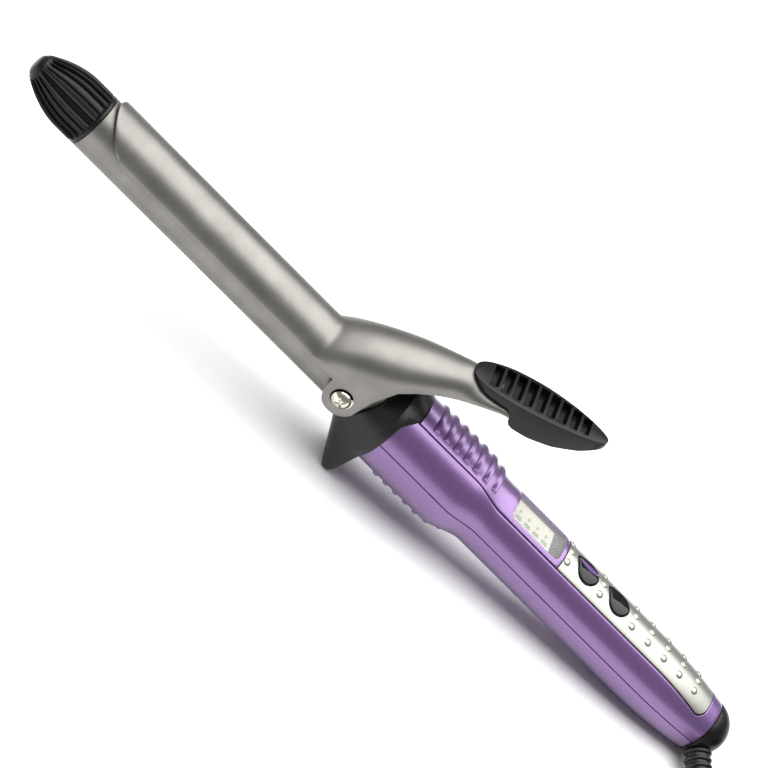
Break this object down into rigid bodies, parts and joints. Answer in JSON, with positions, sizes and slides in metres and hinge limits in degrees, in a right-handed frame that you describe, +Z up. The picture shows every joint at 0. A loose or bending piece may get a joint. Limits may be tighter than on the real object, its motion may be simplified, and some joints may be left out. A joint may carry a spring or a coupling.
{
  "type": "curling iron",
  "caption": "Curling iron with a sprung clip over a round barrel, a stand foot, a display handle with two buttons, and a swivel cord.",
  "frame": {"origin": "centre of the box round the iron without its cord, on the table it lies on", "axes": "+X along the iron from the tip towards the cord, +Z up, -Y is the side with the strain relief"},
  "size_m": [0.4568, 0.0678, 0.0711],
  "materials": {
    "ribbed_black_plastic": "moulded, satin",
    "ceramic_coated_metal": "warm grey ceramic coating, satin",
    "ceramic_white": "fired, matt",
    "extruded_aluminium": "as extruded",
    "sensor_epoxy": "dipped epoxy",
    "fuse_case": "pressed case",
    "fibreglass_sleeve": "braided sleeving",
    "nickel_steel": "nickel plated",
    "spring_steel": "rolled",
    "zinc_steel": "zinc plated",
    "black_nylon": "moulded, fine texture",
    "purple_lacquer": "pearl lacquered",
    "clear_acrylic": "polished",
    "lcd_glass": "reflective display",
    "bezel_black": "moulded",
    "silver_lacquer": "silver lacquered",
    "gloss_black": "polished",
    "board_laminate": "solder mask",
    "board_parts": "moulded",
    "capacitor_film": "dipped",
    "phosphor_bronze": "rolled",
    "soft_black_vinyl": "moulded, satin"
  },
  "bodies": {
    "handle": {"tip_cap": "ribbed_black_plastic", "barrel": "ceramic_coated_metal", "heater_plate": "ceramic_white", "heat_spreaders": "extruded_aluminium", "temperature_sensor": "sensor_epoxy", "thermal_fuse": "fuse_case", "heater_leads": "fibreglass_sleeve", "barrel_insulator": "ceramic_white", "barrel_socket": "ceramic_white", "pivot_bosses": "ceramic_coated_metal", "pivot_screws": "nickel_steel", "pivot_washers": "nickel_steel", "clip_spring": "spring_steel", "heat_shield": "black_nylon", "upper_housing": "purple_lacquer", "lower_housing": "purple_lacquer", "top_inlay": "purple_lacquer", "display_window": "clear_acrylic", "lcd_bezel": "bezel_black", "lcd_module": "lcd_glass", "control_panel": "silver_lacquer", "circuit_board": "board_laminate", "triac": "board_parts", "board_capacitor": "capacitor_film", "tact_switches": "board_parts", "housing_screws": "zinc_steel", "contact_springs": "phosphor_bronze", "cord_lead": "soft_black_vinyl", "cord_hank": "soft_black_vinyl", "cord_end": "soft_black_vinyl", "hank_tie": "soft_black_vinyl", "plug_body": "soft_black_vinyl", "plug_blades": "phosphor_bronze"},
    "clip": {"clip": "ceramic_coated_metal", "thumb_grip": "black_nylon", "grip_rivets": "nickel_steel"},
    "power_button": {"power_button": "gloss_black"},
    "heat_button": {"heat_button": "gloss_black"},
    "swivel": {"swivel_ball": "soft_black_vinyl", "slip_rings": "phosphor_bronze", "strain_relief": "soft_black_vinyl"}
  },
  "joints": [
    {"name": "clip_pivot", "type": "hinge", "parent": "handle", "child": "clip", "pos_m": [-0.01708, 0, 0.02786], "axis": [0, 1, 0], "range_deg": [0, 18], "stiffness_Nm_per_rad": 0.2, "springref_deg": -20.05, "deforming": ["clip_spring"]},
    {"name": "power_press", "type": "slide", "parent": "handle", "child": "power_button", "axis": [-0.1097, 0, -0.994], "range_m": [0, 0.0008], "stiffness_N_per_m": 400, "springref_m": -0.0005},
    {"name": "heat_press", "type": "slide", "parent": "handle", "child": "heat_button", "axis": [-0.1097, 0, -0.994], "range_m": [0, 0.0008], "stiffness_N_per_m": 400, "springref_m": -0.0005},
    {"name": "cord_swivel", "type": "hinge", "parent": "handle", "child": "swivel", "pos_m": [0.14375, 0, 0.0101], "axis": [-0.994, 0, 0.1097], "continuous": true}
  ]
}
